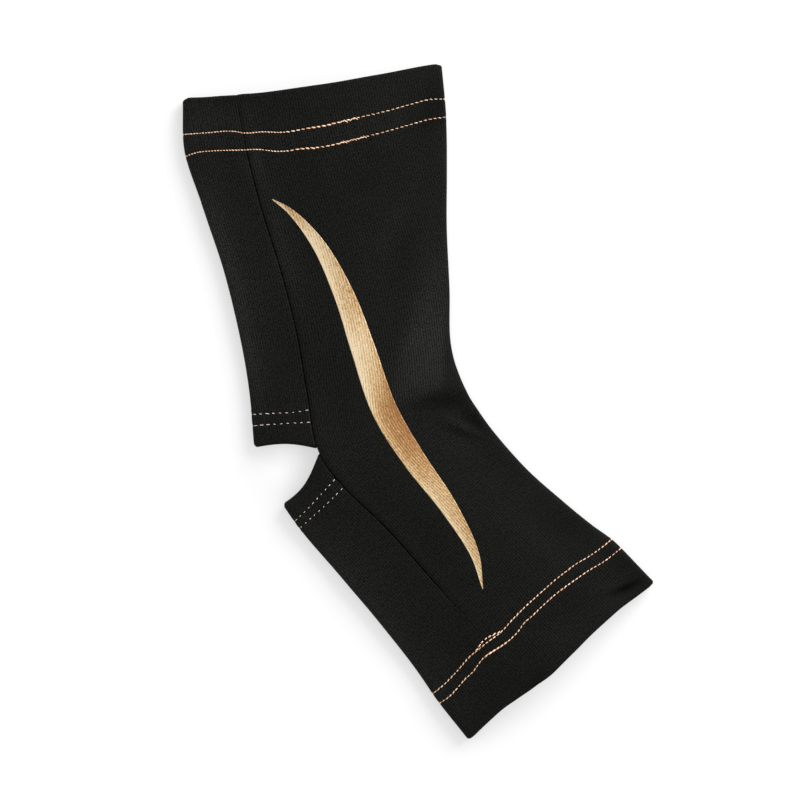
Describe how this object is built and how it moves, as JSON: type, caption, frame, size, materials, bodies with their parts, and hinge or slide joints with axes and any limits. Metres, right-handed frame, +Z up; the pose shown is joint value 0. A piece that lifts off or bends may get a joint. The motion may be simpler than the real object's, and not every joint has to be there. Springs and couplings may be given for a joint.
{
  "type": "open-heel ankle support sleeve",
  "caption": "Knitted ankle support sleeve with an open heel, lying flat: a bent tube of panels with stitched hems and a tapered copper accent stripe.",
  "frame": {"origin": "middle of the sleeve's bounding box, on the surface it lies on", "axes": "+Z up from the surface it lies on, +Y up the leg towards the calf edge, +X towards the front of the foot"},
  "size_m": [0.1876, 0.2692, 0.0149],
  "materials": {
    "knit": "fine black knit, matt with a faint sheen",
    "hem": "inner face of the black knit, matt",
    "copper_film": "satin copper transfer film that follows the knit",
    "copper_thread": "bright copper-coloured sewing thread in the hem stitches"
  },
  "bodies": {
    "root": {"front_panel": "knit", "back_panel": "knit", "sole_panel": "knit", "calf_hem": "hem", "foot_hem": "hem", "back_heel_hem": "hem", "sole_heel_hem": "hem", "accent_stripe": "copper_film"}
  },
  "joints": []
}
